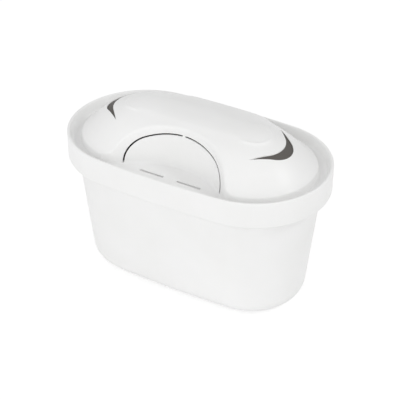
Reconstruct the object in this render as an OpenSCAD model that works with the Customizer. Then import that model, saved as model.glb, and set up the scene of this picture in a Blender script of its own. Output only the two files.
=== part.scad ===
// Water pitcher filter cartridge: a tapered oval cup of loose filter media, closed by a domed lid.
// Millimetres, +Z up. The origin is the middle of the base, and +X runs along the long axis.
// Every wall follows one long oval, the collar's outer edge. A section is drawn as (t, z):
// t is the distance from that oval, negative inwards, and z is the height above the base.

/* [Collar] */
// Distance from the middle to the centre of each round end
end_offset = 23.1; // [20:0.1:28]
// Radius of each round end at the collar
end_radius = 30.4; // [28:0.1:34]
// Height of the collar's flat underside, which hangs on the funnel
collar_bottom = 47; // [44:0.5:47.5]
// Height of the collar's rounded top edge
collar_top = 58.1; // [57.5:0.1:60]
// Thickness of the collar's free edge
collar_edge = 1.6; // [1.4:0.1:2]
// Wall between the collar's outer face and the lid's edge
collar_wall = 2; // [1.9:0.1:2.4]
// Rounding of the collar's lower edge
collar_round = 1; // [0.5:0.1:1.2]

/* [Cup] */
// Wall and floor thickness of the cup
wall = 1.6; // [1.2:0.1:2]
// How far the body stands inside the collar, just below it
body_inset = 4; // [3.6:0.1:4.6]
// How much further in the body is at the top of its rounded foot
body_taper = 4.1; // [3:0.1:5]
// Radius of the rounded foot
foot_round = 7.7; // [6:0.1:9]
// Height of the ledge inside the collar that the lid is welded to
ledge_height = 49; // [48.6:0.1:49.4]

/* [Outlet] */
// Radius of the round socket in the base
socket_radius = 8.5; // [7:0.1:10]
// Depth of that socket
socket_depth = 9; // [7:0.5:12]
// Outer radius of the windows in the socket's roof
window_outer = 7; // [5:0.1:7.5]
// Inner radius of those windows
window_inner = 2; // [1.5:0.1:3]
// Number of windows
window_count = 6; // [4:1:8]
// Width of the spokes between windows
spoke_width = 1.4; // [1:0.1:2]

/* [Lid] */
// Thickness of the lid's shell
lid_wall = 1.6; // [1.2:0.1:1.8]
// Gap between the lid's edge and the collar
weld_gap = 0.1; // [0.05:0.05:0.2]
// Height of the groove's floor, between collar and dome
groove_floor = 53; // [52.6:0.1:53.4]
// How far inside the collar's outer face the dome rises from the groove
dome_inset = 6.5; // [6:0.1:7]
// Height at which the dome's upright edge ends
dome_shoulder = 56.7; // [56:0.1:57]
// Radius of the dome over its section
crown_radius = 26; // [25.5:0.1:26.2]
// Height that the dome's curve would reach at the middle
crown_top = 70.3; // [70:0.1:71]
// How far inside the collar's outer face the flat oval top ends
plateau_inset = 24.2; // [23:0.1:25]
// How far the flat oval top stands above the dome's own curve at the middle
plateau_rise = 0.2; // [0.1:0.1:0.6]
// Run of the soft step around the flat oval top
plateau_step = 1.6; // [1:0.1:2.4]

/* [Finger recess] */
// Distance from the collar's straight side out to the axis of the recess
recess_reach = 12.6; // [12:0.1:15]
// Radius of the recess at its floor
recess_radius = 31; // [29:0.5:32]
// How much the recess widens for each millimetre of height
recess_draft = 0.16; // [0.05:0.01:0.2]
// Half the width of the arched slit in the recess's wall
slit_half_width = 20.4; // [18:0.1:21]
// Height of the slit's lower side at its middle
slit_apex = 65.6; // [64:0.1:65.8]
// Width of the slit
slit_width = 0.7; // [0.6:0.1:1]
// Radius of the arch over the middle of the slit
slit_arch = 42; // [36:1:50]
// Radius of the arch at its two sides
slit_side = 9; // [6:0.5:10]
// Width of the web that crosses the slit at its middle
slit_web = 1.1; // [0.8:0.1:2]
// How far inside the collar's straight side the inlet slots in the recess's floor lie
front_inlet_inset = 10.2; // [9.4:0.1:11.2]
// How far inside the collar's straight side the inlet slots in the groove behind the dome lie
back_inlet_inset = 5.5; // [5.5:0.1:5.7]
// Distance from the middle to each inlet slot's near end
inlet_near = 2.8; // [1:0.1:4]
// Distance from the middle to each inlet slot's far end
inlet_far = 13; // [8:0.5:15]
// Width of an inlet slot
inlet_width = 1; // [0.6:0.1:1.6]

/* [Vents] */
// How far inside the collar's end a vent's outer edge lies, at its middle
vent_inset = 14.7; // [14:0.1:15.5]
// Width of a vent at its middle
vent_width = 2.9; // [2:0.1:3.4]
// Radius of the bend in a vent's outer edge
vent_outer_bend = 8.6; // [8:0.1:9.4]
// Radius of the bend in a vent's inner edge
vent_inner_bend = 10.5; // [9.5:0.1:11.5]
// How far back from the middle of its outer edge a vent's two tips lie
vent_tip_back = 11.1; // [10.4:0.1:11.8]
// Half the distance between a vent's two tips
vent_half_span = 12.9; // [12.4:0.1:13.4]

/* [Screens and filling] */
// Thickness of every mesh screen
screen_thickness = 0.5; // [0.3:0.1:0.8]
// How far a screen reaches past its opening
screen_margin = 1.2; // [0.8:0.1:1.4]
// Height of the filling's top
media_top = 44; // [36:0.5:46]
// Gap between the filling and the walls around it
media_gap = 0.15; // [0.05:0.05:0.3]

/* [Hidden] */
$fn = 120;
// How far cutting tools reach past a face, into the open and where it costs nothing
through = 1;
over = 5;
// Sections stop just short of the end arcs' axes, and a spine along the middle closes what is left
axis_gap = 0.2;
core_t = axis_gap - end_radius;
spine_half = 2 * axis_gap;
crown_centre = crown_top - crown_radius;
lid_bottom = groove_floor - lid_wall;
lid_edge = collar_wall + weld_gap;
plateau_top = crown_top + plateau_rise;
// The dome's hollow ends flat, this much thicker than the wall, under the flat oval top
roof_extra = 0.6;
void_top = plateau_top - lid_wall - roof_extra;
// The dome's curve starts where its slope is four in three
crown_cos = 0.8;
crown_sin = 0.6;
// How far the inside of the dome's shoulder drops for each millimetre of wall
shoulder_drop = 0.25;
// The dome starts inside the groove's floor, so that the two join
dome_root = lid_bottom + lid_wall / 4;
socket_roof = socket_depth + wall;
recess_axis = end_radius + recess_reach;
front_inlet_y = end_radius - front_inlet_inset;
back_inlet_y = end_radius - back_inlet_inset;
slit_centre = slit_apex - slit_arch;
// The slits' tool reaches this far behind the recess's wall, and stands this high over its floor
slit_reach = lid_wall + through;
slit_foot = 0.5;
arc_steps = 8;
slit_side_x = slit_half_width - slit_side;
slit_side_z = slit_centre + sqrt(pow(slit_arch - slit_side, 2) - pow(slit_side_x, 2));
slit_side_angle = atan2(slit_side_z - slit_centre, slit_side_x);
vent_apex = end_offset + end_radius - vent_inset;
vent_tip = vent_apex - vent_tip_back;

// Sweeps a (t, z) section round the oval: two round ends joined by two straight sides
module oval_sweep() {
    for (turn = [0, 180])
        rotate([0, 0, turn]) {
            translate([end_offset, 0, 0])
                rotate([0, 0, -90])
                    rotate_extrude(angle = 180)
                        translate([end_radius, 0])
                            children();
            translate([-end_offset, 0, 0])
                rotate([90, 0, 90])
                    linear_extrude(height = 2 * end_offset)
                        translate([end_radius, 0])
                            children();
        }
}

// Closes the strip along the middle of a swept plate
module spine(from_z, to_z) {
    half_length = end_offset + 2 * axis_gap;
    translate([-half_length, -spine_half, from_z])
        cube([2 * half_length, 2 * spine_half, to_z - from_z]);
}

// Quarter disc from straight down to straight out
module foot_quarter(radius) {
    intersection() {
        circle(r = radius);
        translate([0, -radius])
            square(radius);
    }
}

// Where the body's outer face lies at a height above its foot
function body_t(z) = -body_inset - body_taper * (collar_bottom - z) / (collar_bottom - foot_round);

// Section of the body up to a height, inset from its outer face
module body_section(inset, top) {
    foot_t = body_t(foot_round) - foot_round;
    neck = min(top, collar_bottom);
    polygon(concat(
        [
            [core_t, inset],
            [foot_t, inset],
            [foot_t, foot_round],
            [body_t(foot_round) - inset, foot_round],
            [body_t(neck) - inset, neck],
        ],
        top > neck ? [[body_t(neck) - inset, top]] : [],
        [[core_t, top]]
    ));
    translate([foot_t, foot_round])
        foot_quarter(foot_round - inset);
}

// Section of the collar, with its rounded lower corner and top edge
module collar_section() {
    round_z = collar_top - collar_edge / 2;
    polygon([
        [-body_inset - wall, collar_bottom],
        [-collar_round, collar_bottom],
        [-collar_round, collar_bottom + collar_round],
        [0, collar_bottom + collar_round],
        [0, round_z],
        [-collar_edge, round_z],
        [-collar_wall, groove_floor],
        [-collar_wall, ledge_height],
        [-body_inset - wall, ledge_height],
    ]);
    translate([-collar_round, collar_bottom + collar_round])
        foot_quarter(collar_round);
    translate([-collar_edge / 2, round_z])
        intersection() {
            circle(d = collar_edge);
            translate([-collar_edge / 2, 0])
                square([collar_edge, collar_edge]);
        }
}

// Windows through the socket's roof
module socket_windows() {
    tool_height = wall + 2 * through;
    difference() {
        cylinder(h = tool_height, r = window_outer);
        translate([0, 0, -through])
            cylinder(h = tool_height + 2 * through, r = window_inner);
        for (i = [0 : window_count - 1])
            rotate([0, 0, i * 360 / window_count])
                translate([0, -spoke_width / 2, -through])
                    cube([window_outer + through, spoke_width, tool_height + 2 * through]);
    }
}

// Tapered cup with its collar and the outlet socket in its base
module cup() {
    color("white")
        difference() {
            union() {
                oval_sweep() {
                    difference() {
                        body_section(0, ledge_height);
                        body_section(wall, ledge_height + over);
                    }
                    collar_section();
                }
                spine(0, wall);
                cylinder(h = socket_roof, r = socket_radius + wall);
            }
            translate([0, 0, -through])
                cylinder(h = socket_depth + through, r = socket_radius);
            translate([0, 0, socket_depth - through])
                socket_windows();
        }
}

// Section of the dome, inset from its outer face, from a given height up to another
module dome_section(inset, from_z, to_z) {
    radius = crown_radius - inset;
    join_t = -end_radius + radius * crown_cos;
    join_z = crown_centre + radius * crown_sin;
    far = 2 * crown_radius;
    intersection() {
        union() {
            polygon([
                [-end_radius, crown_centre],
                [-dome_inset - inset, crown_centre],
                [-dome_inset - inset, dome_shoulder - inset * shoulder_drop],
                [join_t, join_z],
            ]);
            translate([-end_radius, crown_centre])
                intersection() {
                    circle(r = radius);
                    polygon([[0, 0], [far * crown_cos, far * crown_sin], [0, far]]);
                }
        }
        translate([core_t, from_z])
            square([-core_t, to_z - from_z]);
    }
}

// Section of the dome with its flat oval top, before it is hollowed
module crown_section() {
    plateau_foot = plateau_top - plateau_step;
    dome_section(0, dome_root, plateau_top);
    polygon([
        [core_t, plateau_foot],
        [-plateau_inset + plateau_step, plateau_foot],
        [-plateau_inset, plateau_top],
        [core_t, plateau_top],
    ]);
}

// Section of the groove's floor, which is also the recess's floor, and of the weld skirt
module floor_section() {
    polygon([
        [core_t, lid_bottom],
        [-lid_edge - lid_wall, lid_bottom],
        [-lid_edge - lid_wall, ledge_height],
        [-lid_edge, ledge_height],
        [-lid_edge, groove_floor],
        [core_t, groove_floor],
    ]);
}

// The finger recess, grown outwards, from a given height up
module recess(grow, from_z) {
    rise = plateau_top - groove_floor + over;
    drop = groove_floor - from_z;
    translate([0, -recess_axis, from_z])
        cylinder(h = rise + drop, r1 = recess_radius + grow - recess_draft * drop,
            r2 = recess_radius + grow + recess_draft * rise);
}

// Points along an arc from one angle to another; the last is left out where an arc follows on
function arc_points(centre, radius, from, to, follows = 0) =
    [for (i = [0 : arc_steps - follows]) let (a = from + i * (to - from) / arc_steps)
        centre + radius * [cos(a), sin(a)]];

// Outline of the arched slit, as a closed arch down to the recess's floor
function arch_points(grow) = concat(
    arc_points([slit_side_x, slit_side_z], slit_side + grow, 0, slit_side_angle, 1),
    arc_points([0, slit_centre], slit_arch + grow, slit_side_angle, 180 - slit_side_angle, 1),
    arc_points([-slit_side_x, slit_side_z], slit_side + grow, 180 - slit_side_angle, 180),
    [[-slit_half_width - grow, groove_floor], [slit_half_width + grow, groove_floor]]);

// Arched slit through the recess's wall, in two halves with a web between them
module slits() {
    intersection() {
        translate([0, -spine_half, 0])
            rotate([90, 0, 0])
                linear_extrude(height = end_radius)
                    difference() {
                        polygon(arch_points(slit_width));
                        polygon(arch_points(0));
                        translate([-slit_web / 2, groove_floor])
                            square([slit_web, crown_radius]);
                        translate([-end_radius, groove_floor - through])
                            square([2 * end_radius, through + slit_foot]);
                    }
        translate([0, -recess_axis, groove_floor])
            cylinder(h = crown_radius, r1 = recess_radius + slit_reach,
                r2 = recess_radius + slit_reach + recess_draft * crown_radius);
    }
}

// Two pairs of inlet slots, end to end: one in the recess's floor and one in the groove behind the dome
module inlets() {
    for (y = [-front_inlet_y, back_inlet_y], side = [-1, 1])
        translate([side * (inlet_near + inlet_far) / 2, y, groove_floor])
            cube([inlet_far - inlet_near, inlet_width, 4 * lid_wall], center = true);
}

// Where a straight line from a vent's tip touches the bend that it runs into
function bend_angle(tip, centre, radius) =
    atan2(tip[1], tip[0] - centre) - acos(radius / norm([tip[0] - centre, tip[1]]));

// Crescent of the vent at the right end, grown on every side: two bends between the same two tips
module vent_outline(grow) {
    tip = [vent_tip - grow, vent_half_span + grow];
    outer_centre = vent_apex - vent_outer_bend;
    inner_centre = vent_apex - vent_width - vent_inner_bend;
    outer_angle = bend_angle(tip, outer_centre, vent_outer_bend + grow);
    inner_angle = bend_angle(tip, inner_centre, vent_inner_bend - grow);
    polygon(concat(
        [[tip[0], -tip[1]]],
        arc_points([outer_centre, 0], vent_outer_bend + grow, -outer_angle, outer_angle),
        [tip],
        arc_points([inner_centre, 0], vent_inner_bend - grow, inner_angle, -inner_angle)
    ));
}

// Domed lid with its finger recess, slits, inlets and crescent vents, welded into the collar
module lid() {
    color("white")
        difference() {
            union() {
                difference() {
                    union() {
                        oval_sweep()
                            crown_section();
                        spine(dome_root, plateau_top);
                    }
                    recess(0, lid_bottom - over);
                }
                oval_sweep()
                    floor_section();
                spine(lid_bottom, groove_floor);
            }
            difference() {
                union() {
                    oval_sweep()
                        dome_section(lid_wall, lid_bottom - over, void_top);
                    spine(lid_bottom - over, void_top);
                }
                recess(lid_wall, lid_bottom);
            }
            slits();
            inlets();
            for (turn = [0, 180])
                rotate([0, 0, turn])
                    translate([0, 0, groove_floor])
                        linear_extrude(height = crown_radius)
                            vent_outline(0);
        }
}

// Mesh screen under a pair of inlet slots
module inlet_screen(y) {
    length = 2 * (inlet_far + screen_margin);
    width = inlet_width + 2 * screen_margin;
    color("lightgray")
        translate([-length / 2, y - width / 2, lid_bottom - screen_thickness])
            cube([length, width, screen_thickness]);
}

// Mesh screen bonded under the dome, behind the right end's vent
module vent_screen() {
    color("dimgray")
        intersection() {
            translate([end_offset, 0, 0])
                rotate([0, 0, -90])
                    rotate_extrude(angle = 180)
                        translate([end_radius, 0])
                            difference() {
                                dome_section(lid_wall, groove_floor, crown_top);
                                dome_section(lid_wall + screen_thickness, groove_floor - through, crown_top);
                            }
            linear_extrude(height = crown_top)
                vent_outline(screen_margin);
        }
}

// Round mesh screen on the socket's roof, over its windows
module outlet_screen() {
    color("lightgray")
        translate([0, 0, socket_roof])
            cylinder(h = screen_thickness, r = window_outer + screen_margin);
}

// Loose filling of resin beads and carbon granules, as the block that it takes up
module filter_media() {
    color("dimgray")
        difference() {
            union() {
                oval_sweep()
                    body_section(wall + media_gap, ledge_height);
                spine(wall + media_gap, ledge_height);
            }
            translate([-2 * end_radius, -2 * end_radius, media_top])
                cube(4 * end_radius);
            cylinder(h = socket_roof + screen_thickness + media_gap,
                r = socket_radius + wall + media_gap);
        }
}

cup();
lid();
inlet_screen(-front_inlet_y);  // inlet_screen_front
inlet_screen(back_inlet_y);  // inlet_screen_back
rotate([0, 0, 180]) vent_screen();  // vent_screen_left
vent_screen();  // vent_screen_right
outlet_screen();
filter_media();
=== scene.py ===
"""A water pitcher filter cartridge: an oval cup, a domed lid and the screens behind its openings."""

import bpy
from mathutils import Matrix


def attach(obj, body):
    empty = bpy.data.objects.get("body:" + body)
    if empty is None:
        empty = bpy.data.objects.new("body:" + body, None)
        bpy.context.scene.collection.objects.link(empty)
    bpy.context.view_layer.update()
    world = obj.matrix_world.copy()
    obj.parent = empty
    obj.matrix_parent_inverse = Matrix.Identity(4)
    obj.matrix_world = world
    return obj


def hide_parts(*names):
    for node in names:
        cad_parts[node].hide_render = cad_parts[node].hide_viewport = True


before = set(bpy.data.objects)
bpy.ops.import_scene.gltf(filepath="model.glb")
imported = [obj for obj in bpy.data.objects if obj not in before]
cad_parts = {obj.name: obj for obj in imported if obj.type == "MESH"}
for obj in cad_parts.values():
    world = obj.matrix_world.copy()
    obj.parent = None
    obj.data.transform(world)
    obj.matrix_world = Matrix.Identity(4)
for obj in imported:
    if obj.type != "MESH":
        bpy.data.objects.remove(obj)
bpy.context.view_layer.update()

import math

import bmesh
import bpy
from mathutils import Vector

MM = 0.001

# Stand: a white paper floor, a hair below the base so that the two never share a plane. The camera
# and mirror rays see the paper lifted to white, and the object's soft shadow stays on it.
floor_size = 3.0
floor_gap = 0.05 * MM
floor_grey = 0.9
floor_roughness = 0.9
floor_seen = 0.45
floor_lift = 0.67
bpy.ops.object.select_all(action="DESELECT")
bpy.ops.mesh.primitive_plane_add(size=floor_size, location=(0, 0, -floor_gap))
floor = bpy.context.object
floor.name = "floor"


def nodes_of(material):
    material.use_nodes = True
    tree = material.node_tree
    return tree, tree.nodes["Principled BSDF"], tree.nodes["Material Output"]


def seen_rays(tree):
    """One for camera, mirror and see-through rays, nought for the rays that carry light."""
    rays = tree.nodes.new("ShaderNodeLightPath")
    mirror = tree.nodes.new("ShaderNodeMath")
    mirror.operation = "MAXIMUM"
    tree.links.new(rays.outputs["Is Camera Ray"], mirror.inputs[0])
    tree.links.new(rays.outputs["Is Glossy Ray"], mirror.inputs[1])
    seen = tree.nodes.new("ShaderNodeMath")
    seen.operation = "MAXIMUM"
    tree.links.new(mirror.outputs[0], seen.inputs[0])
    tree.links.new(rays.outputs["Is Transmission Ray"], seen.inputs[1])
    return seen.outputs[0]


floor_finish = bpy.data.materials.new("floor_paper")
tree, shader, output = nodes_of(floor_finish)
shader.inputs["Base Color"].default_value = (floor_grey, floor_grey, floor_grey, 1)
shader.inputs["Roughness"].default_value = floor_roughness
paper = tree.nodes.new("ShaderNodeBsdfDiffuse")
paper.inputs["Color"].default_value = (floor_seen, floor_seen, floor_seen, 1)
lift = tree.nodes.new("ShaderNodeEmission")
lift.inputs["Strength"].default_value = floor_lift
lifted = tree.nodes.new("ShaderNodeAddShader")
tree.links.new(paper.outputs[0], lifted.inputs[0])
tree.links.new(lift.outputs[0], lifted.inputs[1])
mix = tree.nodes.new("ShaderNodeMixShader")
tree.links.new(seen_rays(tree), mix.inputs[0])
tree.links.new(shader.outputs[0], mix.inputs[1])
tree.links.new(lifted.outputs[0], mix.inputs[2])
tree.links.new(mix.outputs[0], output.inputs["Surface"])
floor.data.materials.append(floor_finish)

# Sky: an even white studio, a little brighter low in front than it is above and behind. The
# camera, mirror and see-through rays see it plain white.
sky_level = 0.8
sky_slope = 0.26
sky_way = Vector((0.0, -0.9, -0.5)).normalized()
world = bpy.data.worlds.new("studio")
bpy.context.scene.world = world
world.use_nodes = True
tree = world.node_tree
background = tree.nodes["Background"]
background.inputs["Color"].default_value = (1, 1, 1, 1)
where = tree.nodes.new("ShaderNodeTexCoord")
facing = tree.nodes.new("ShaderNodeVectorMath")
facing.operation = "DOT_PRODUCT"
facing.inputs[1].default_value = sky_way
tree.links.new(where.outputs["Generated"], facing.inputs[0])
slope = tree.nodes.new("ShaderNodeMath")
slope.operation = "MULTIPLY_ADD"
slope.inputs[1].default_value = sky_slope
slope.inputs[2].default_value = sky_level
tree.links.new(facing.outputs["Value"], slope.inputs[0])
tree.links.new(slope.outputs[0], background.inputs["Strength"])
white = tree.nodes.new("ShaderNodeBackground")
white.inputs["Strength"].default_value = 1.0
mix = tree.nodes.new("ShaderNodeMixShader")
tree.links.new(seen_rays(tree), mix.inputs[0])
tree.links.new(background.outputs[0], mix.inputs[1])
tree.links.new(white.outputs[0], mix.inputs[2])
tree.links.new(mix.outputs[0], tree.nodes["World Output"].inputs["Surface"])

# Camera: it stands where the photograph was taken from, half a metre away and 34 degrees up, and
# its lens gives the photograph's frame.
camera_azimuth = math.radians(30.38)
camera_elevation = math.radians(33.82)
camera_distance = 489.7 * MM
look_at = Vector((0.99, 0, 32.45)) * MM
nearest_seen = 0.01
sensor = 36.0
focal_pixels = 1264.1
picture_pixels = 400
back = Vector((
    math.sin(camera_azimuth) * math.cos(camera_elevation),
    -math.cos(camera_azimuth) * math.cos(camera_elevation),
    math.sin(camera_elevation),
))
bpy.ops.object.camera_add(location=look_at + back * camera_distance)
camera = bpy.context.object
camera.rotation_euler = back.to_track_quat("Z", "Y").to_euler()
camera.data.sensor_width = sensor
camera.data.lens = focal_pixels / picture_pixels * sensor
camera.data.clip_start = nearest_seen
bpy.context.scene.camera = camera
bpy.context.scene.view_settings.view_transform = "Standard"


# Lamps: a broad low one in front gives the soft shading, and a small one behind on the right
# leaves the spark on the dome.
def area_lamp(name, direction, distance, size, power):
    place = Vector(direction).normalized() * distance
    bpy.ops.object.light_add(type="AREA", location=place)
    lamp = bpy.context.object
    lamp.name = name
    lamp.data.size = size
    lamp.data.energy = power
    lamp.rotation_euler = place.to_track_quat("Z", "Y").to_euler()


area_lamp("front_lamp", direction=(0.1, -0.87, 0.4), distance=1.4, size=1.0, power=3.3)
area_lamp("spark_lamp", direction=(0.69, 0.2, 0.69), distance=1.0, size=0.14, power=1.2)

# Cup: one injection moulding of white polypropylene, a tapered oval body under a wide collar. Its
# skin is drawn ring by ring from the middle of the base. A place named with a t, here and in the
# lid, is how far it lies outside the collar's outer oval, so it is negative inside.
end_offset = 23.9 * MM
end_radius = 29.6 * MM
side_bow = 0.8 * MM
side_drop = (end_offset ** 2 - side_bow ** 2) / (2 * side_bow)
side_radius = side_drop + end_radius + side_bow
end_angle = math.atan2(side_drop, end_offset)
end_steps = 48
side_steps = 16


def oval(t):
    """Points round the collar's outer oval, moved outwards by t."""
    points = []
    for i in range(end_steps):
        a = -end_angle + 2 * end_angle * i / end_steps
        points.append((end_offset + (end_radius + t) * math.cos(a), (end_radius + t) * math.sin(a)))
    for i in range(side_steps):
        a = end_angle + 2 * (math.pi / 2 - end_angle) * i / side_steps
        points.append(((side_radius + t) * math.cos(a), (side_radius + t) * math.sin(a) - side_drop))
    return points + [(-x, -y) for x, y in points]


def oval_rings(section):
    return [[(x, y, z) for x, y in oval(t)] for t, z in section]


def drawn(name, rings):
    """A skin that starts as a circle and is extruded ring by ring, each moved to its place."""
    count = len(rings[0])
    bpy.ops.object.select_all(action="DESELECT")
    bpy.ops.mesh.primitive_circle_add(vertices=count)
    piece = bpy.context.object
    piece.name = name
    bpy.ops.object.mode_set(mode="EDIT")
    for i, ring in enumerate(rings):
        if i:
            bpy.ops.mesh.extrude_edges_indiv()
        mesh = bmesh.from_edit_mesh(piece.data)
        mesh.verts.ensure_lookup_table()
        for vertex, place in zip(mesh.verts[-count:], ring):
            vertex.co = place
    bmesh.update_edit_mesh(piece.data)
    bpy.ops.object.mode_set(mode="OBJECT")
    return piece


def pick(piece):
    bpy.ops.object.select_all(action="DESELECT")
    bpy.context.view_layer.objects.active = piece
    piece.select_set(True)


merge_gap = 0.001 * MM


def close_skin(piece):
    """Fills a skin's open rings, merges what lies together and turns its faces outwards."""
    pick(piece)
    bpy.ops.object.mode_set(mode="EDIT")
    bpy.ops.mesh.select_mode(type="EDGE")
    bpy.ops.mesh.select_all(action="SELECT")
    bpy.ops.mesh.remove_doubles(threshold=merge_gap)
    bpy.ops.mesh.select_all(action="DESELECT")
    bpy.ops.mesh.select_non_manifold()
    bpy.ops.mesh.fill_holes(sides=0)
    bpy.ops.mesh.select_all(action="SELECT")
    bpy.ops.mesh.normals_make_consistent(inside=False)
    bpy.ops.object.mode_set(mode="OBJECT")


def cut(piece, tool, operation="DIFFERENCE"):
    """Cuts a piece with a tool, which is used up."""
    modifier = piece.modifiers.new("cut", "BOOLEAN")
    modifier.operation = operation
    modifier.object = tool
    modifier.solver = "EXACT"
    pick(piece)
    bpy.ops.object.modifier_apply(modifier=modifier.name)
    bpy.data.objects.remove(tool)


def smooth(piece, sharp_from=32):
    """Smooth shading, which leaves the edges sharp that turn by more than the given degrees."""
    pick(piece)
    bpy.ops.object.shade_smooth_by_angle(angle=math.radians(sharp_from))


def arc(centre, radius, start, end, steps):
    """Points of a section's arc, angles in degrees."""
    angles = [math.radians(start + (end - start) * i / steps) for i in range(steps + 1)]
    return [(centre[0] + radius * math.cos(a), centre[1] + radius * math.sin(a)) for a in angles]


wall = 1.6 * MM
foot_round = 7.7 * MM
foot_t = -15.8 * MM
draft = 5.96
collar_low = 47 * MM
collar_top = 58.1 * MM
body_t = -4 * MM
ledge = 49 * MM
neck_round = 1.2 * MM
under_round = 1.4 * MM
rim_round = 0.6 * MM
lid_seat_t = -2 * MM
lid_seat_top = 55.6 * MM
base_edge = foot_t - 3 * MM
base_middle = foot_t - 8 * MM
cup_section = (
    [(base_middle, 0), (base_edge, 0)]
    + arc((foot_t, foot_round), foot_round, -90, -draft, steps=12)
    + arc((body_t + neck_round, collar_low - neck_round), neck_round, 180 - draft, 90, steps=5)
    + arc((-under_round, collar_low + under_round), under_round, -90, 0, steps=6)
    + arc((-rim_round, collar_top - rim_round), rim_round, 0, 180, steps=10)
    + [(lid_seat_t, lid_seat_top), (lid_seat_t, ledge), (body_t - wall, ledge)]
    + arc((foot_t, foot_round), foot_round - wall, -draft, -90, steps=10)
    + [(base_edge, wall), (base_middle, wall)]
)
cup = drawn("cup_moulding", oval_rings(cup_section))
close_skin(cup)

# Outlet: a round socket in the cup's base, moulded with it, which goes over the outlet ring in the
# pitcher's funnel. The water leaves through six windows in its roof.
socket_radius = 8.5 * MM
socket_depth = 9 * MM
window_outer = 7 * MM
window_inner = 2 * MM
window_spare = 1 * MM
spoke = 1.4 * MM
spoke_height = 20 * MM
hub_top = 30 * MM
below_base = 5 * MM
windows = 6


def rod(radius, low, high, vertices=96):
    bpy.ops.object.select_all(action="DESELECT")
    bpy.ops.mesh.primitive_cylinder_add(
        vertices=vertices, radius=radius, depth=high - low, location=(0, 0, (low + high) / 2))
    tool = bpy.context.object
    bpy.ops.object.transform_apply()
    return tool


cut(cup, rod(socket_radius + wall, wall / 2, socket_depth + wall), "UNION")
cut(cup, rod(socket_radius, -below_base, socket_depth))
window = rod(window_outer, socket_depth - window_spare, socket_depth + wall + window_spare)
cut(window, rod(window_inner, 0, hub_top, vertices=48))
for i in range(windows):
    bpy.ops.object.select_all(action="DESELECT")
    bpy.ops.mesh.primitive_cube_add(
        size=1, location=(window_outer / 2 + window_spare, 0, socket_depth))
    bar = bpy.context.object
    bar.scale = (window_outer + 2 * window_spare, spoke, spoke_height)
    bpy.ops.object.transform_apply()
    bar.rotation_euler.z = i * 2 * math.pi / windows
    bpy.ops.object.transform_apply()
    cut(window, bar)
cut(cup, window)
smooth(cup)


def new_group(name, inputs, outputs):
    """Node group whose first input is a place, and whose other sockets are numbers."""
    made = bpy.data.node_groups.new(name, "ShaderNodeTree")
    for label in inputs:
        kind = "NodeSocketVector" if label == "Vector" else "NodeSocketFloat"
        made.interface.new_socket(label, in_out="INPUT", socket_type=kind)
    for label in outputs:
        made.interface.new_socket(label, in_out="OUTPUT", socket_type="NodeSocketFloat")
    return made, made.nodes.new("NodeGroupInput"), made.nodes.new("NodeGroupOutput")


def placed(tree, made):
    """The group put into a material, fed with the piece's own coordinates."""
    where = tree.nodes.new("ShaderNodeTexCoord")
    group = tree.nodes.new("ShaderNodeGroup")
    group.node_tree = made
    tree.links.new(where.outputs["Object"], group.inputs["Vector"])
    return group


def sum_of(tree, operation, *terms):
    """A math node on its terms, each a socket or a number."""
    node = tree.nodes.new("ShaderNodeMath")
    node.operation = operation
    for socket, term in zip(node.inputs, terms):
        if isinstance(term, (int, float)):
            socket.default_value = term
        else:
            tree.links.new(term, socket)
    return node.outputs[0]


def ranged(tree, value, low, high, from_low=0, from_high=1):
    """A value carried over from one range to another, and held inside it."""
    node = tree.nodes.new("ShaderNodeMapRange")
    node.inputs["From Min"].default_value = from_low
    node.inputs["From Max"].default_value = from_high
    node.inputs["To Min"].default_value = low
    node.inputs["To Max"].default_value = high
    tree.links.new(value, node.inputs["Value"])
    return node.outputs["Result"]


def raise_bumps(tree, shader, height, strength, distance):
    bump = tree.nodes.new("ShaderNodeBump")
    bump.inputs["Strength"].default_value = strength
    bump.inputs["Distance"].default_value = distance
    tree.links.new(height, bump.inputs["Height"])
    tree.links.new(bump.outputs["Normal"], shader.inputs["Normal"])


def noise(tree, vector, scale, detail):
    node = tree.nodes.new("ShaderNodeTexNoise")
    node.inputs["Scale"].default_value = scale
    node.inputs["Detail"].default_value = detail
    tree.links.new(vector, node.inputs["Vector"])
    return node.outputs[0]


plastic_specular = 0.35
pit_strength = 0.25
pit_depth = 0.02 * MM
patch_share = 0.4
skin_group, start, end = new_group("moulded_skin", ("Vector",), ("Cloud", "Gloss", "Grain"))
clouds = noise(skin_group, start.outputs["Vector"], scale=45, detail=3)
patches = noise(skin_group, start.outputs["Vector"], scale=220, detail=4)
pits = noise(skin_group, start.outputs["Vector"], scale=3200, detail=2)
cloud = ranged(skin_group, clouds, 0, 1, from_low=0.35, from_high=0.65)
gloss = ranged(skin_group, patches, 0, 1, from_low=0.3, from_high=0.7)
grain = sum_of(skin_group, "MULTIPLY_ADD", patches, patch_share, pits)
skin_group.links.new(cloud, end.inputs["Cloud"])
skin_group.links.new(gloss, end.inputs["Gloss"])
skin_group.links.new(grain, end.inputs["Grain"])


def moulded(name, dull, bright, smoothest, roughest):
    """Moulded plastic with faint clouds of tone, an uneven gloss and the tool's fine grain."""
    finish = bpy.data.materials.new(name)
    tree, shader, output = nodes_of(finish)
    skin = placed(tree, skin_group)
    mix = tree.nodes.new("ShaderNodeMix")
    mix.data_type = "RGBA"
    mix.inputs["A"].default_value = (*dull, 1)
    mix.inputs["B"].default_value = (*bright, 1)
    tree.links.new(skin.outputs["Cloud"], mix.inputs["Factor"])
    tree.links.new(mix.outputs["Result"], shader.inputs["Base Color"])
    tree.links.new(ranged(tree, skin.outputs["Gloss"], smoothest, roughest), shader.inputs["Roughness"])
    shader.inputs["Specular IOR Level"].default_value = plastic_specular
    raise_bumps(tree, shader, skin.outputs["Grain"], pit_strength, pit_depth)
    return finish


white_plastic = moulded("white_plastic", dull=(0.885, 0.885, 0.878), bright=(0.905, 0.905, 0.902),
                        smoothest=0.33, roughest=0.43)
cup.data.materials.clear()
cup.data.materials.append(white_plastic)
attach(cup, "root")
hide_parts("cup")

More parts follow.
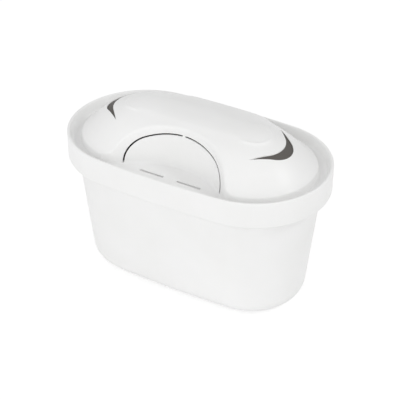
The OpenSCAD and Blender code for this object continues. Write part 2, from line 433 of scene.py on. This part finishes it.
# Lid: one injection moulding, welded into the collar. A long dome rises from a narrow groove, and a
# finger recess is sunk in its front. Its skin is drawn on lines that run from the collar in to
# the dome's spine, closer together where the skin turns, and is then given its thickness.
lid_wall = 1.5 * MM
floor_z = 53 * MM
dome_t = -5.2 * MM
dome_foot = 56.3 * MM
crown_radius = 26 * MM
crown_z = 70.1 * MM - crown_radius
crown_cos = 0.8
crown_sin = 0.6
plateau_t = -23 * MM
plateau_rise = 0.35 * MM
plateau_soft = 3.5 * MM
bead_rise = 0.3 * MM
bead_width = 0.6 * MM
bead_start = 20 * MM
bead_fade = 5 * MM
end_sink = 0.9 * MM
sink_start = 20 * MM
sink_fade = 14 * MM
sink_edge = 6 * MM


def oval_t(x, y):
    """How far a point lies outside the collar's outer oval, negative inside."""
    x, y = abs(x), abs(y)
    if math.atan2(y, x - end_offset) <= end_angle:
        return math.hypot(x - end_offset, y) - end_radius
    return math.hypot(x, y + side_drop) - side_radius


def ease(share):
    """A soft step, from nought to one."""
    share = min(1, max(0, share))
    return share * share * (3 - 2 * share)


def dome_height(x, y):
    """The dome's straight flank and round crown, with the flat top's soft step and bead on it."""
    t = max(oval_t(x, y), -end_radius)
    join_t = -end_radius + crown_cos * crown_radius
    join_z = crown_z + crown_sin * crown_radius
    if t > join_t:
        height = join_z + (dome_foot - join_z) * (t - join_t) / (dome_t - join_t)
    else:
        height = crown_z + math.sqrt(crown_radius ** 2 - (t + end_radius) ** 2)
        height += plateau_rise * ease((plateau_t - t) / plateau_soft + 0.5)
        ends = ease((abs(x) - bead_start) / bead_fade)
        height += bead_rise * ends * math.exp(-((t - plateau_t) / bead_width) ** 2)
    sunk = ease((abs(x) - sink_start) / sink_fade) * ease((dome_t - t) / sink_edge)
    return height - end_sink * sunk


back_radius = 37 * MM
back_axis = 1.84 * MM
back_z = 32.57 * MM
back_soft = 0.5 * MM
back_edge = 6 * MM
back_reach = 30 * MM
back_fade = 18 * MM


def back_height(x, y):
    """The dome behind its ridge, which has fuller shoulders along the middle."""
    height = dome_height(x, y)
    side = end_radius + side_bow + max(oval_t(x, y), -end_radius)
    fuller = back_z + math.sqrt(back_radius ** 2 - (side - back_axis) ** 2) - height
    fuller = (fuller + math.hypot(fuller, back_soft)) / 2
    return height + fuller * ease(y / back_edge) * ease((back_reach - abs(x)) / back_fade)


def blend(a, b, share):
    """The place that lies a share of the way from one point to another."""
    return tuple(p + (q - p) * share for p, q in zip(a, b))


groove_t = -1.96 * MM
recess_axis = 43 * MM
recess_radius = 31 * MM
corner_round = 6.5 * MM
spine_inset = 3 * MM
end_lines = 44
corner_lines = 14
recess_lines = 44


def end_quarter(turn):
    """Lines round the lid's end, from its tip as far as an angle. Each is its wall's foot, the way
    in, its inner and outer ends, and how much of it is the recess."""
    base = end_radius + dome_t
    groove = end_radius + groove_t
    lines = []
    for i in range(end_lines):
        a = turn * i / end_lines
        c, s = math.cos(a), math.sin(a)
        foot = (end_offset + base * c, base * s)
        outer = (end_offset + groove * c, groove * s)
        lines.append((foot, (-c, -s), (end_offset, 0), outer, 0.0))
    return lines


def back_quarter(spines):
    """Lines of the right back quarter, which meet the given points on the dome's spine."""
    lines = end_quarter(end_angle)
    for spine in spines[end_lines:]:
        a = math.acos(math.cos(end_angle) * spine[0] / end_offset)
        c, s = math.cos(a), math.sin(a)
        foot = ((side_radius + dome_t) * c, (side_radius + dome_t) * s - side_drop)
        outer = ((side_radius + groove_t) * c, (side_radius + groove_t) * s - side_drop)
        lines.append((foot, (-c, -s), spine, outer, 0.0))
    return lines


def recess_quarter():
    """Lines of the quarter with the recess, drawn on the back's side and turned over later."""
    reach_a = recess_radius + corner_round
    reach_b = end_radius + dome_t - corner_round
    span = math.hypot(end_offset, recess_axis)
    along = (reach_a ** 2 - reach_b ** 2 + span ** 2) / (2 * span)
    aside = math.sqrt(reach_a ** 2 - along ** 2)
    ux, uy = end_offset / span, -recess_axis / span
    fx, fy = ux * along - uy * aside, recess_axis + uy * along + ux * aside
    start = math.atan2(fy, fx - end_offset)
    turned = math.atan2(recess_axis - fy, -fx)
    lines = end_quarter(start)
    groove = end_radius + groove_t
    edge_x = end_offset + groove * math.cos(start)
    recess_start = math.atan2(fy - recess_axis, fx)
    foot_x = recess_radius * math.cos(recess_start)
    for i in range(corner_lines):
        share = i / corner_lines
        a = start + (turned - start) * share
        c, s = math.cos(a), math.sin(a)
        out_x = edge_x + (foot_x - edge_x) * share
        out_y = math.sqrt((side_radius + groove_t) ** 2 - out_x ** 2) - side_drop
        if out_x > end_offset + groove * math.cos(end_angle):
            out_y = math.sqrt(groove ** 2 - (out_x - end_offset) ** 2)
        lines.append(((fx + corner_round * c, fy + corner_round * s), (-c, -s),
                      (end_offset - spine_inset * share, 0), (out_x, out_y), share))
    for i in range(recess_lines + 1):
        a = recess_start + (-math.pi / 2 - recess_start) * i / recess_lines
        c, s = math.cos(a), math.sin(a)
        x = recess_radius * c
        out_y = math.sqrt((side_radius + groove_t) ** 2 - x ** 2) - side_drop
        lines.append(((x, recess_axis + recess_radius * s), (c, s),
                      ((end_offset - spine_inset) * x / foot_x, 0), (x, out_y), 1.0))
    return lines


recess_draft = 0.16
wall_reach = 6 * MM
halvings = 40


def wall_top(height, at):
    """How far in from its foot the drafted wall meets the dome, and the dome's slope there."""
    low, high = 0, wall_reach
    for _ in range(halvings):
        u = (low + high) / 2
        if floor_z + u / recess_draft < height(*at(u)):
            low = u
        else:
            high = u
    step = 1 * MM
    return u, math.atan2(height(*at(u + step)) - height(*at(u)), step)


groove_lift = 0.7 * MM
groove_round = 1.6 * MM
groove_fillet = 0.6 * MM
recess_fillet_more = 0.7 * MM
lip_round = 1.0 * MM
recess_lip_more = 0.8 * MM
back_lip_more = 2.0 * MM
groove_steps = 6
floor_steps = 4
fillet_steps = 6
wall_steps = 6
lip_steps = 10
flank_steps = 10
bead_steps = 14
top_steps = 6
bead_from = 0.64
bead_to = 0.78


def lid_line(height, foot, way, spine, outer, recessed):
    """Points of one line, from the collar over the groove, up the wall and lip, to the spine."""
    lip = lip_round + recess_lip_more * recessed
    if height is back_height:
        lip += back_lip_more * ease((back_reach - abs(foot[0])) / back_fade)
    fillet = groove_fillet + recess_fillet_more * recessed
    lean = math.atan2(1, recess_draft)
    level = floor_z + groove_lift * (1 - recessed)

    def at(u):
        return foot[0] + way[0] * u, foot[1] + way[1] * u

    top_u, slope = wall_top(height, at)
    reach = lip * math.tan((lean - slope) / 2)
    top_z = floor_z + top_u / recess_draft
    lip_u = top_u - reach * math.cos(lean) + lip * math.sin(lean)
    lip_z = top_z - reach * math.sin(lean) - lip * math.cos(lean)
    foot_u = recess_draft * (level - floor_z) - fillet * math.tan(lean / 2)
    profile = []
    for i in range(fillet_steps + 1):
        a = lean * i / fillet_steps
        profile.append((foot_u + fillet * math.sin(a), level + fillet - fillet * math.cos(a)))
    wall_low = profile[-1]
    wall_high = (lip_u - lip * math.sin(lean), lip_z + lip * math.cos(lean))
    profile += [blend(wall_low, wall_high, i / wall_steps) for i in range(1, wall_steps)]
    end_u = lip_u - lip * math.sin(slope)
    miss = height(*at(end_u)) - (lip_z + lip * math.cos(slope))
    for i in range(lip_steps + 1):
        a = lean + (slope - lean) * i / lip_steps
        z = lip_z + lip * math.cos(a) + miss * (i / lip_steps) ** 2
        profile.append((lip_u - lip * math.sin(a), z))
    near = at(foot_u)
    rounded = groove_round / math.dist(outer, near)
    points = []
    for i in range(groove_steps + 1):
        a = math.pi / 2 * i / groove_steps
        place = blend(outer, near, rounded * (1 - math.cos(a)))
        points.append((*place, level + groove_round * (1 - math.sin(a))))
    for i in range(1, floor_steps):
        place = blend(outer, near, rounded + (1 - rounded) * i / floor_steps)
        points.append((*place, level))
    points += [(*at(u), z) for u, z in profile]
    last = at(end_u)
    shares = [bead_from * i / flank_steps for i in range(1, flank_steps + 1)]
    shares += [bead_from + (bead_to - bead_from) * i / bead_steps for i in range(1, bead_steps + 1)]
    shares += [bead_to + (1 - bead_to) * i / top_steps for i in range(1, top_steps + 1)]
    for share in shares:
        x, y = blend(last, spine, share)
        points.append((x, y, height(x, y)))
    return points


lid_merge_gap = 0.01 * MM
front_lines = recess_quarter()
recess_half = [lid_line(dome_height, *line) for line in front_lines]
back_lines = back_quarter([spine for foot, way, spine, outer, recessed in front_lines])
back_right = [lid_line(back_height, *line) for line in back_lines]
back_left = [[(-x, y, z) for x, y, z in line] for line in reversed(back_right[:-1])]
front_left = [[(-x, -y, z) for x, y, z in line] for line in recess_half[1:]]
front_right = [[(x, -y, z) for x, y, z in line] for line in reversed(recess_half[1:-1])]
lid_rings = [list(ring) for ring in zip(*(back_right + back_left + front_left + front_right))]
lid = drawn("lid_moulding", lid_rings)
pick(lid)
bpy.ops.object.mode_set(mode="EDIT")
bpy.ops.mesh.select_all(action="SELECT")
bpy.ops.mesh.remove_doubles(threshold=lid_merge_gap)
bpy.ops.mesh.normals_make_consistent(inside=False)
bpy.ops.object.mode_set(mode="OBJECT")
if lid.data.polygons[0].normal.z < 0:
    lid.data.flip_normals()
shell = lid.modifiers.new("wall", "SOLIDIFY")
shell.thickness = lid_wall
shell.offset = -1
pick(lid)
bpy.ops.object.modifier_apply(modifier=shell.name)

# Slits: two narrow openings in an arch round the recess's wall, with a web between them at the top.
# Like the inlets and vents below, they are left open by the lid's mould.
slit_half_width = 20.4 * MM
slit_apex = 65.6 * MM
slit_width = 0.62 * MM
slit_arch = 42 * MM
slit_side = 9 * MM
slit_web = 1.1 * MM
slit_foot = 53.5 * MM
slit_near = 8 * MM
slit_far = 24 * MM
rebate_below = 1.5 * MM
rebate_above = 0.9 * MM
rebate_from = 0.4 * MM
rebate_to = 3 * MM


def prism(name, outline, low, high):
    """An outline in the level plane, raised from one height to another."""
    bpy.ops.object.select_all(action="DESELECT")
    bpy.ops.mesh.primitive_circle_add(vertices=len(outline), fill_type="NGON")
    tool = bpy.context.object
    tool.name = name
    for vertex, (x, y) in zip(tool.data.vertices, outline):
        vertex.co = (x, y, low)
    bpy.ops.object.mode_set(mode="EDIT")
    bpy.ops.mesh.select_all(action="SELECT")
    bpy.ops.mesh.extrude_region_move(TRANSFORM_OT_translate={"value": (0, 0, high - low)})
    bpy.ops.mesh.select_all(action="SELECT")
    bpy.ops.mesh.normals_make_consistent(inside=False)
    bpy.ops.object.mode_set(mode="OBJECT")
    return tool


def arch(grow):
    """Right half of the slit's arch, from the recess's floor to the web."""
    centre = slit_apex - slit_arch
    side_x = slit_half_width - slit_side
    side_z = centre + math.sqrt((slit_arch - slit_side) ** 2 - side_x ** 2)
    turn = math.degrees(math.atan2(side_z - centre, side_x))
    web = math.degrees(math.acos(slit_web / 2 / slit_arch))
    points = [(slit_half_width + grow, slit_foot)]
    points += arc((side_x, side_z), slit_side + grow, 0, turn, 12)
    points += arc((0, centre), slit_arch + grow, turn, web, 12)[1:]
    return points


def band(side, below, above):
    """Solid between two arches, on one side of the web, through the recess's wall."""
    outline = arch(-below) + list(reversed(arch(slit_width + above)))
    tool = prism("slit_tool", [(x * side, z) for x, z in outline], slit_near, slit_far)
    tool.rotation_euler = (math.pi / 2, 0, 0)
    bpy.ops.object.transform_apply()
    return tool


def recess_cone(grow):
    """The recess's drafted wall carried round to a full cone, larger by the given distance."""
    low, high = 50 * MM, 72 * MM
    bpy.ops.object.select_all(action="DESELECT")
    bpy.ops.mesh.primitive_cone_add(
        vertices=256, depth=high - low, location=(0, -recess_axis, (low + high) / 2),
        radius1=recess_radius + recess_draft * (low - floor_z) + grow,
        radius2=recess_radius + recess_draft * (high - floor_z) + grow)
    bpy.ops.object.transform_apply()
    return bpy.context.object


for side in (1, -1):
    rebate = band(side, rebate_below, rebate_above)
    cut(rebate, recess_cone(rebate_to), "INTERSECT")
    cut(rebate, recess_cone(rebate_from))
    cut(lid, rebate)
    cut(lid, band(side, 0, 0))

# Inlets: two straight slots end to end in the recess's floor, and two in the groove behind the
# dome, through which the water runs down into the filling.
inlet_near = 2.8 * MM
inlet_far = 13 * MM
inlet_width = 1.0 * MM
inlet_height = 8 * MM
inlet_rows = (-20.2 * MM, 26.2 * MM)
for inlet_y in inlet_rows:
    for side in (1, -1):
        bpy.ops.object.select_all(action="DESELECT")
        bpy.ops.mesh.primitive_cube_add(
            size=1, location=(side * (inlet_near + inlet_far) / 2, inlet_y, floor_z))
        tool = bpy.context.object
        tool.scale = (inlet_far - inlet_near, inlet_width, inlet_height)
        bpy.ops.object.transform_apply()
        cut(lid, tool)

# Vents: a crescent at each end of the dome, with a thin edge round it. A pocket behind the edge
# takes the vent's screen.
vent_tip = (28.2 * MM, 12.5 * MM)
vent_outer = (30.5 * MM, 8.5 * MM)
vent_inner = (25.4 * MM, 10.3 * MM)
vent_low = 56 * MM
vent_high = 75 * MM
vent_edge = 0.4 * MM
vent_margin = 0.9 * MM
pocket_depth = 8 * MM
slab_middle = 33 * MM
slab_length = 18 * MM
slab_width = 32 * MM


def bend(centre, radius, tip):
    """Points round a bend, as far as the straight arms that run on to the vent's two tips."""
    across = tip[0] - centre
    reach = math.hypot(across, tip[1])
    turn = math.degrees(math.atan2(tip[1], across) - math.acos(radius / reach))
    return arc((centre, 0), radius, -turn, turn, 32)


def crescent(side, grow):
    """Upright prism through one end of the dome, on the vent's outline grown by a distance."""
    tip = (vent_tip[0] - grow, vent_tip[1] + grow)
    outline = [(tip[0], -tip[1])] + bend(vent_outer[0], vent_outer[1] + grow, tip)
    outline += [tip] + list(reversed(bend(vent_inner[0], vent_inner[1] - grow, tip)))
    return prism("vent_tool", [(side * x, y) for x, y in outline], vent_low, vent_high)


def dome_slab(name, side, sink, thickness):
    """Slab under one end of the dome, which follows the dome's surface at a given depth."""
    bpy.ops.object.select_all(action="DESELECT")
    bpy.ops.mesh.primitive_grid_add(x_subdivisions=48, y_subdivisions=80, size=1)
    slab = bpy.context.object
    slab.name = name
    for vertex in slab.data.vertices:
        x = side * (slab_middle + slab_length * vertex.co.x)
        y = slab_width * vertex.co.y
        vertex.co = (x, y, dome_height(x, y) - sink)
    bpy.ops.object.mode_set(mode="EDIT")
    bpy.ops.mesh.select_all(action="SELECT")
    bpy.ops.mesh.extrude_region_move(TRANSFORM_OT_translate={"value": (0, 0, -thickness)})
    bpy.ops.mesh.select_all(action="SELECT")
    bpy.ops.mesh.normals_make_consistent(inside=False)
    bpy.ops.object.mode_set(mode="OBJECT")
    return slab


for side in (1, -1):
    pocket = dome_slab("vent_pocket", side, vent_edge, pocket_depth)
    cut(pocket, crescent(side, vent_margin), "INTERSECT")
    cut(lid, pocket)
    cut(lid, crescent(side, 0))
smooth(lid)
lid.data.materials.clear()
lid.data.materials.append(white_plastic)
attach(lid, "root")
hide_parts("lid")

# Vent screens: two crescents of dark woven polyester, cut from a roll and welded into shallow
# pockets under the dome's skin, so that they let the air out and keep the granules in.
screen_depth = 0.3 * MM
screen_gap = 0.05 * MM
vent_pitch = 0.5 * MM
vent_thread = (0.115, 0.106, 0.097)
vent_hole = (0.03, 0.027, 0.024)
thread_roughness = 0.6
hole_roughness = 0.95
thread_strength = 0.5
thread_depth = 0.05 * MM
thread_under = 0.7
thread_over = 1.3


def woven(name, thread, hole, pitch):
    """Plain weave of fine thread, with dark gaps between the crossings."""
    finish = bpy.data.materials.new(name)
    tree, shader, output = nodes_of(finish)
    weave = placed(tree, weave_group)
    weave.inputs["Pitch"].default_value = pitch
    mix = tree.nodes.new("ShaderNodeMix")
    mix.data_type = "RGBA"
    mix.inputs["A"].default_value = (*hole, 1)
    mix.inputs["B"].default_value = (*thread, 1)
    tree.links.new(weave.outputs["Thread"], mix.inputs["Factor"])
    tree.links.new(mix.outputs["Result"], shader.inputs["Base Color"])
    roughness = ranged(tree, weave.outputs["Thread"], hole_roughness, thread_roughness)
    tree.links.new(roughness, shader.inputs["Roughness"])
    raise_bumps(tree, shader, weave.outputs["Height"], thread_strength, thread_depth)
    return finish


weave_group, start, end = new_group("plain_weave", ("Vector", "Pitch"), ("Height", "Thread"))
split = weave_group.nodes.new("ShaderNodeSeparateXYZ")
weave_group.links.new(start.outputs["Vector"], split.inputs[0])
waves = []
for axis in ("X", "Y"):
    turns = sum_of(weave_group, "DIVIDE", split.outputs[axis], start.outputs["Pitch"])
    waves.append(sum_of(weave_group, "COSINE", sum_of(weave_group, "MULTIPLY", turns, math.pi)))
crossing = sum_of(weave_group, "MULTIPLY", waves[0], waves[1])
lift_warp = ranged(weave_group, crossing, thread_under, thread_over, from_low=-1)
lift_weft = ranged(weave_group, crossing, thread_over, thread_under, from_low=-1)
warp = sum_of(weave_group, "ABSOLUTE", waves[0])
weft = sum_of(weave_group, "ABSOLUTE", waves[1])
raised = sum_of(weave_group, "MAXIMUM", sum_of(weave_group, "MULTIPLY", warp, lift_warp),
                sum_of(weave_group, "MULTIPLY", weft, lift_weft))
widest = sum_of(weave_group, "MAXIMUM", warp, weft)
cover = ranged(weave_group, widest, 0, 1, from_low=0.5, from_high=0.75)
weave_group.links.new(raised, end.inputs["Height"])
weave_group.links.new(cover, end.inputs["Thread"])

vent_finish = woven("vent_mesh", vent_thread, vent_hole, vent_pitch)
for side, node in ((-1, "vent_screen_left"), (1, "vent_screen_right")):
    screen = dome_slab(node.replace("screen", "mesh"), side, vent_edge, screen_depth)
    cut(screen, crescent(side, vent_margin - screen_gap), "INTERSECT")
    smooth(screen)
    screen.data.materials.clear()
    screen.data.materials.append(vent_finish)
    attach(screen, "root")
    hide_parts(node)

# Inlet and outlet screens: strips and a disc of white woven polyester, welded over the water's slots
# and windows. They are thin flat pieces, so the frame's own shapes are kept.
pale_pitch = 0.3 * MM
pale_thread = (0.62, 0.61, 0.59)
pale_hole = (0.3, 0.29, 0.28)
pale_finish = woven("screen_mesh", pale_thread, pale_hole, pale_pitch)
for node in ("inlet_screen_front", "inlet_screen_back", "outlet_screen"):
    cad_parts[node].data.materials.clear()
    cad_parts[node].data.materials.append(pale_finish)

# Filling: loose grains of black activated carbon and amber ion exchange beads, poured in before the
# lid is welded on. It stands as one block, and its grains are in the finish alone.
black_carbon = (0.025, 0.025, 0.026, 1)
grey_carbon = (0.07, 0.07, 0.07, 1)
amber_bead = (0.33, 0.2, 0.08, 1)
grey_from = 0.5
amber_from = 0.82
carbon_roughness = 0.9
bead_roughness = 0.55
grains_in_metre = 1100
grain_strength = 0.8
grain_depth = 0.3 * MM
grain_group, start, end = new_group("grains", ("Vector", "Scale"), ("Height", "Pick"))
cells = grain_group.nodes.new("ShaderNodeTexVoronoi")
grain_group.links.new(start.outputs["Vector"], cells.inputs["Vector"])
grain_group.links.new(start.outputs["Scale"], cells.inputs["Scale"])
grain_group.links.new(ranged(grain_group, cells.outputs["Distance"], 1, 0), end.inputs["Height"])
tone = grain_group.nodes.new("ShaderNodeSeparateColor")
grain_group.links.new(cells.outputs["Color"], tone.inputs[0])
grain_group.links.new(tone.outputs["Red"], end.inputs["Pick"])

granules = bpy.data.materials.new("filter_granules")
tree, shader, output = nodes_of(granules)
grains = placed(tree, grain_group)
grains.inputs["Scale"].default_value = grains_in_metre
ramp = tree.nodes.new("ShaderNodeValToRGB")
ramp.color_ramp.interpolation = "CONSTANT"
ramp.color_ramp.elements[0].color = black_carbon
ramp.color_ramp.elements[1].color = grey_carbon
ramp.color_ramp.elements[1].position = grey_from
ramp.color_ramp.elements.new(amber_from).color = amber_bead
tree.links.new(grains.outputs["Pick"], ramp.inputs["Fac"])
tree.links.new(ramp.outputs["Color"], shader.inputs["Base Color"])
roughness = ranged(tree, grains.outputs["Pick"], carbon_roughness, bead_roughness)
tree.links.new(roughness, shader.inputs["Roughness"])
raise_bumps(tree, shader, grains.outputs["Height"], grain_strength, grain_depth)
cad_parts["filter_media"].data.materials.clear()
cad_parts["filter_media"].data.materials.append(granules)
